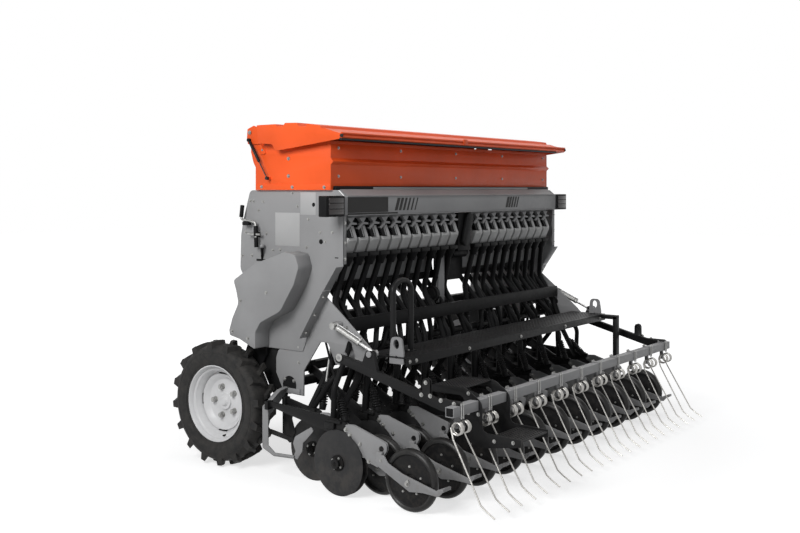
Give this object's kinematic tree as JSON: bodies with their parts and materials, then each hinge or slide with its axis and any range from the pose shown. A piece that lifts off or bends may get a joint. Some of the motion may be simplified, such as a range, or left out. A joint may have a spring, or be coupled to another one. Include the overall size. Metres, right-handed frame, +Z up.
{
  "type": "three metre mounted mechanical seed drill with double-disc coulters, press wheels and a following harrow",
  "caption": "Box seed drill: hinged hopper lid, metering units over seed tubes, disc coulters with press wheels, lift-up tine harrow, lugged drive wheels and a three-point headstock.",
  "frame": {"origin": "on the ground under the middle of the machine", "axes": "+X to the drill's right, +Y forwards towards the tractor, +Z up"},
  "size_m": [2.9552, 2.325, 2.007],
  "materials": {
    "orange": "satin",
    "panel_grey": "satin",
    "light_grey": "satin",
    "black_paint": "satin",
    "meter_plastic": "moulded",
    "rubber": "matt rubber",
    "wheel_grey": "satin",
    "steel": "zinc plated and chromed"
  },
  "bodies": {
    "drill_frame": {"side_plate_left": "panel_grey", "side_plate_right": "panel_grey", "chassis_plate_left": "panel_grey", "chassis_plate_right": "panel_grey", "chain_guard_left": "panel_grey", "chain_guard_right": "panel_grey", "rear_beam": "black_paint", "hopper": "orange", "metering_bank_left": "meter_plastic", "metering_bank_right": "meter_plastic", "metering_drive": "black_paint", "cross_beam": "black_paint", "front_beam": "black_paint", "headstock": "panel_grey", "walkway": "black_paint", "handrail": "black_paint", "coulter_bank_front": "light_grey", "coulter_bank_rear": "light_grey", "pressure_shaft": "black_paint", "wheel_arm_left": "black_paint", "wheel_arm_right": "black_paint", "crank_handle": "steel"},
    "wheel_left": {"tyre_left": "rubber", "rim_left": "wheel_grey"},
    "wheel_right": {"tyre_right": "rubber", "rim_right": "wheel_grey"},
    "press_wheels_rear": {"press_wheel_rear_01": "rubber", "press_wheel_rear_03": "rubber", "press_wheel_rear_05": "rubber", "press_wheel_rear_07": "rubber", "press_wheel_rear_09": "rubber", "press_wheel_rear_11": "rubber", "press_wheel_rear_13": "rubber", "press_wheel_rear_15": "rubber", "press_wheel_rear_17": "rubber", "press_wheel_rear_19": "rubber", "press_wheel_rear_21": "rubber"},
    "press_wheels_front": {"press_wheel_front_02": "rubber", "press_wheel_front_04": "rubber", "press_wheel_front_06": "rubber", "press_wheel_front_08": "rubber", "press_wheel_front_10": "rubber", "press_wheel_front_12": "rubber", "press_wheel_front_14": "rubber", "press_wheel_front_16": "rubber", "press_wheel_front_18": "rubber", "press_wheel_front_20": "rubber"},
    "lid": {"lid": "orange"},
    "strut_barrel_left": {"strut_barrel_left": "black_paint"},
    "strut_rod_left": {"strut_rod_left": "steel"},
    "strut_barrel_right": {"strut_barrel_right": "black_paint"},
    "strut_rod_right": {"strut_rod_right": "steel"},
    "harrow": {"harrow_arm_left": "black_paint", "harrow_arm_right": "black_paint", "harrow_bar": "light_grey", "harrow_step": "black_paint"},
    "cylinder_barrel_left": {"cylinder_barrel_left": "steel"},
    "cylinder_rod_left": {"cylinder_rod_left": "steel"},
    "cylinder_barrel_right": {"cylinder_barrel_right": "steel"},
    "cylinder_rod_right": {"cylinder_rod_right": "steel"}
  },
  "joints": [
    {"name": "wheel_left_spin", "type": "hinge", "parent": "drill_frame", "child": "wheel_left", "pos_m": [-1.35, 0.7525, 0.3675], "axis": [1, 0, 0], "continuous": true},
    {"name": "wheel_right_spin", "type": "hinge", "parent": "drill_frame", "child": "wheel_right", "pos_m": [1.35, 0.7525, 0.3675], "axis": [1, 0, 0], "continuous": true},
    {"name": "press_wheels_rear_spin", "type": "hinge", "parent": "drill_frame", "child": "press_wheels_rear", "pos_m": [0, -0.6825, 0.16], "axis": [1, 0, 0], "continuous": true},
    {"name": "press_wheels_front_spin", "type": "hinge", "parent": "drill_frame", "child": "press_wheels_front", "pos_m": [0, -0.3815, 0.16], "axis": [1, 0, 0], "continuous": true},
    {"name": "lid_hinge", "type": "hinge", "parent": "drill_frame", "child": "lid", "pos_m": [0, 0.6065, 1.963], "axis": [-1, 0, 0], "range_deg": [0, 70]},
    {"name": "harrow_lift", "type": "hinge", "parent": "drill_frame", "child": "harrow", "pos_m": [0, -0.1315, 0.713], "axis": [-1, 0, 0], "range_deg": [0, 35]},
    {"name": "strut_swing_left", "type": "hinge", "parent": "lid", "child": "strut_barrel_left", "pos_m": [-1.285, 0.6055, 1.918], "axis": [1, 0, 0], "range_deg": [0, 81.17]},
    {"name": "strut_slide_left", "type": "slide", "parent": "strut_barrel_left", "child": "strut_rod_left", "axis": [0, -0.5436, -0.8394], "range_m": [0, 0.00833]},
    {"name": "cylinder_swing_left", "type": "hinge", "parent": "drill_frame", "child": "cylinder_barrel_left", "pos_m": [-1.29, -0.0545, 0.874], "axis": [-1, 0, 0], "range_deg": [0, 21.02]},
    {"name": "cylinder_slide_left", "type": "slide", "parent": "cylinder_barrel_left", "child": "cylinder_rod_left", "axis": [0, 0.9153, 0.4028], "range_m": [0, 0.08451]},
    {"name": "strut_swing_right", "type": "hinge", "parent": "lid", "child": "strut_barrel_right", "pos_m": [1.285, 0.6055, 1.918], "axis": [1, 0, 0], "range_deg": [0, 81.17]},
    {"name": "strut_slide_right", "type": "slide", "parent": "strut_barrel_right", "child": "strut_rod_right", "axis": [0, -0.5436, -0.8394], "range_m": [0, 0.00833]},
    {"name": "cylinder_swing_right", "type": "hinge", "parent": "drill_frame", "child": "cylinder_barrel_right", "pos_m": [1.29, -0.0545, 0.874], "axis": [-1, 0, 0], "range_deg": [0, 21.02]},
    {"name": "cylinder_slide_right", "type": "slide", "parent": "cylinder_barrel_right", "child": "cylinder_rod_right", "axis": [0, 0.9153, 0.4028], "range_m": [0, 0.08451]}
  ],
  "couplings": [
    {"joint": "strut_swing_left", "follows": "lid_hinge", "ratio": 1.1525},
    {"joint": "strut_slide_left", "follows": "lid_hinge", "m_per_rad": 0.006409},
    {"joint": "cylinder_swing_left", "follows": "harrow_lift", "ratio": 0.58624},
    {"joint": "cylinder_slide_left", "follows": "harrow_lift", "m_per_rad": 0.13753},
    {"joint": "strut_swing_right", "follows": "lid_hinge", "ratio": 1.1525},
    {"joint": "strut_slide_right", "follows": "lid_hinge", "m_per_rad": 0.006409},
    {"joint": "cylinder_swing_right", "follows": "harrow_lift", "ratio": 0.58624},
    {"joint": "cylinder_slide_right", "follows": "harrow_lift", "m_per_rad": 0.13753}
  ]
}
